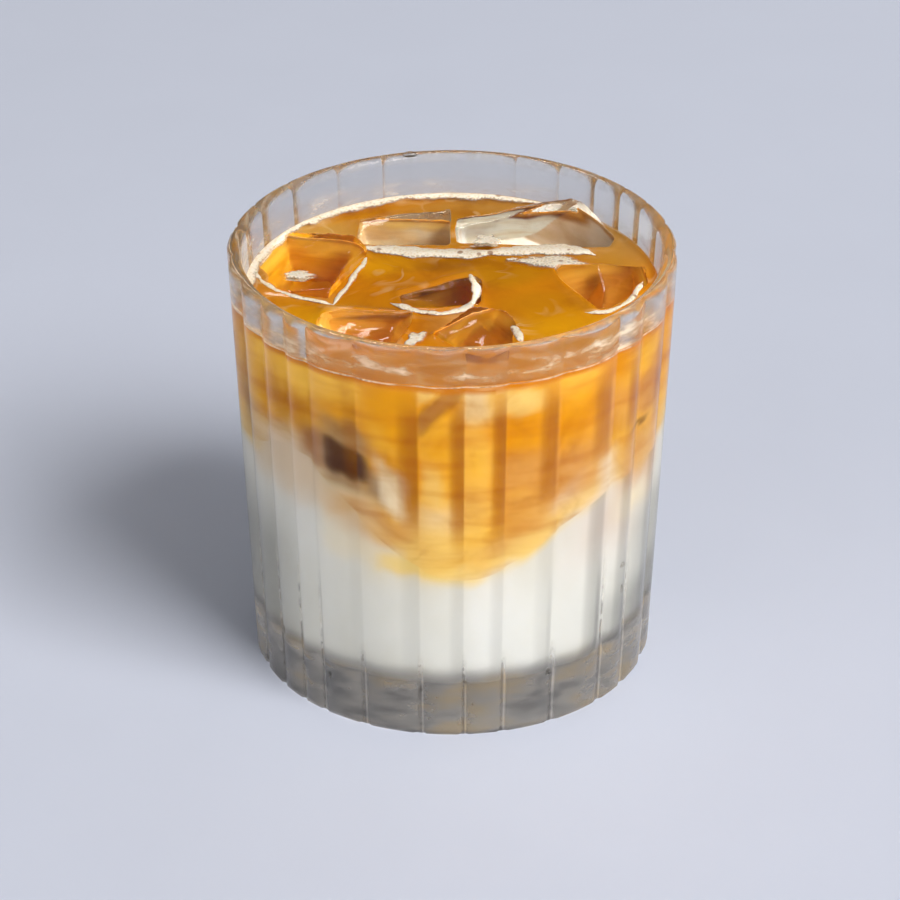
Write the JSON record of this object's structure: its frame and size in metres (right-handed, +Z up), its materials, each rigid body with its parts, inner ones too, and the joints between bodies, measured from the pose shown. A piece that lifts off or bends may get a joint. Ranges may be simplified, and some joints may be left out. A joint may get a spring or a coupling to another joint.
{
  "type": "iced cappuccino",
  "caption": "Iced milk-and-coffee drink in layers in a low ribbed glass tumbler, with ice cubes breaking the surface and a ring of foam at the wall.",
  "frame": {"origin": "middle of the ring that the glass stands on, on the ground plane", "axes": "+Z up along the glass's axis; -Y is the front, as seen by someone looking at the drink; +X to their right"},
  "size_m": [0.0877, 0.0878, 0.088],
  "materials": {
    "clear_glass": "clear pressed glass, misted outside",
    "milk": "opaque liquid",
    "coffee": "cloudy liquid",
    "foam": "fine wet foam",
    "ice": "clear melted ice"
  },
  "bodies": {
    "root": {"glass": "clear_glass", "milk": "milk", "coffee": "coffee", "foam_ring": "foam", "ice_1": "ice", "ice_2": "ice", "ice_3": "ice", "ice_4": "ice", "ice_5": "ice", "ice_6": "ice", "ice_7": "ice"}
  },
  "joints": []
}
